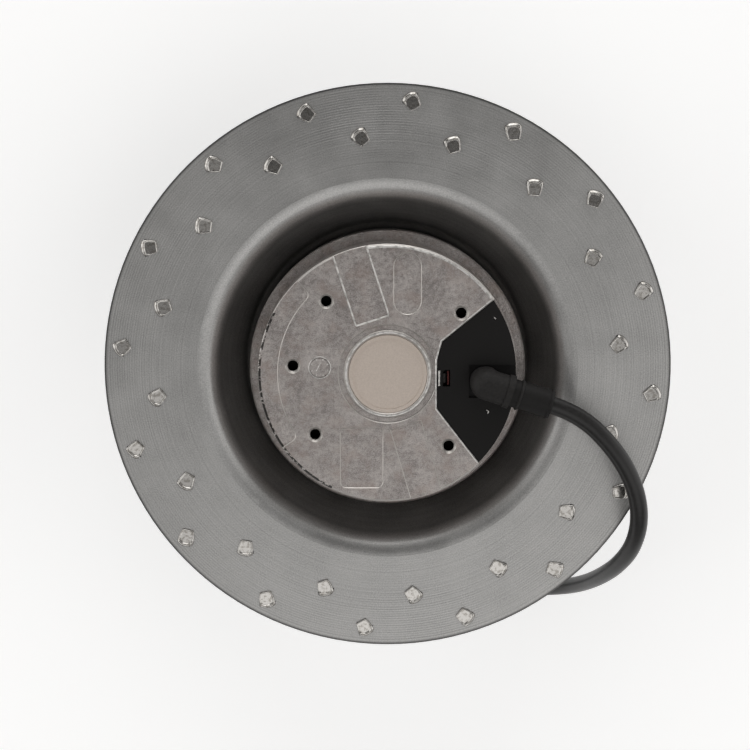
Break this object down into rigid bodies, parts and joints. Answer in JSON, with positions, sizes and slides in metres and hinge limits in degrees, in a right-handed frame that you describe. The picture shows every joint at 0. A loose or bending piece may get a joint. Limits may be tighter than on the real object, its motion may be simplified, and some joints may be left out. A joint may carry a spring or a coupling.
{
  "type": "centrifugal fan",
  "caption": "Motorised centrifugal impeller: backward-curved sheet-steel wheel on an external-rotor motor, with a cast stator flange and a black lead.",
  "frame": {"origin": "centre of the inlet collar's rim, on the surface that the fan stands on", "axes": "+Z along the shaft, from the inlet up through the stator flange's mounting face; +X towards the side where the lead leaves; +Y to the side of the flange between its first and fourth fixing holes"},
  "size_m": [0.225, 0.2282, 0.1129],
  "materials": {
    "galvanised_sheet": "satin",
    "galvanised_blade": "satin",
    "cast_aluminium": "cast",
    "cap_metal": "matt",
    "black_plastic": "moulded",
    "board": "satin",
    "zinc_steel": "satin",
    "capacitor_sleeve": "satin",
    "enamelled_copper": "gloss",
    "terminal_plastic": "moulded",
    "core_insulation": "satin",
    "lamination_steel": "satin",
    "insulator_plastic": "moulded",
    "bearing_steel": "polished",
    "black_rubber": "matt",
    "sleeve_rubber": "satin",
    "cable_sheath": "satin",
    "tinned_copper": "satin",
    "cage_plastic": "moulded",
    "bell_steel": "satin",
    "magnet": "matt"
  },
  "bodies": {
    "stator": {"board_capacitors": "capacitor_sleeve", "board_choke": "enamelled_copper", "board_screws": "zinc_steel", "cable": "cable_sheath", "cable_cores": "core_insulation", "cable_elbow": "black_rubber", "cable_sleeve": "sleeve_rubber", "centre_cap": "cap_metal", "circuit_board": "board", "connector_cover": "black_plastic", "core_ferrules": "tinned_copper", "inner_leads": "core_insulation", "lower_bearing_outer_ring": "bearing_steel", "preload_washer": "zinc_steel", "slot_insulators": "insulator_plastic", "stator_core": "lamination_steel", "stator_flange": "cast_aluminium", "stator_windings": "enamelled_copper", "terminal_block": "terminal_plastic", "upper_bearing_outer_ring": "bearing_steel"},
    "rotor": {"lower_bearing_inner_ring": "bearing_steel", "upper_bearing_inner_ring": "bearing_steel", "shaft": "bearing_steel", "shaft_clip": "zinc_steel", "rotor_bell": "bell_steel", "rotor_magnets": "magnet", "back_plate": "galvanised_sheet", "inlet_shroud": "galvanised_sheet", "blade_01": "galvanised_blade", "blade_02": "galvanised_blade", "blade_03": "galvanised_blade", "blade_04": "galvanised_blade", "blade_05": "galvanised_blade", "blade_06": "galvanised_blade", "blade_07": "galvanised_blade", "blade_08": "galvanised_blade", "blade_09": "galvanised_blade", "blade_10": "galvanised_blade", "blade_11": "galvanised_blade", "blade_12": "galvanised_blade", "blade_13": "galvanised_blade", "blade_14": "galvanised_blade", "blade_15": "galvanised_blade", "blade_16": "galvanised_blade"},
    "ball_sets": {"lower_balls": "bearing_steel", "upper_balls": "bearing_steel", "lower_ball_cage": "cage_plastic", "upper_ball_cage": "cage_plastic"}
  },
  "joints": [
    {"name": "rotor_spin", "type": "hinge", "parent": "stator", "child": "rotor", "pos_m": [0, 0, 0.05], "axis": [0, 0, 1], "continuous": true},
    {"name": "balls_orbit", "type": "hinge", "parent": "stator", "child": "ball_sets", "pos_m": [0, 0, 0.05], "axis": [0, 0, 1], "continuous": true}
  ],
  "couplings": [
    {"joint": "balls_orbit", "follows": "rotor_spin", "ratio": 0.368}
  ]
}
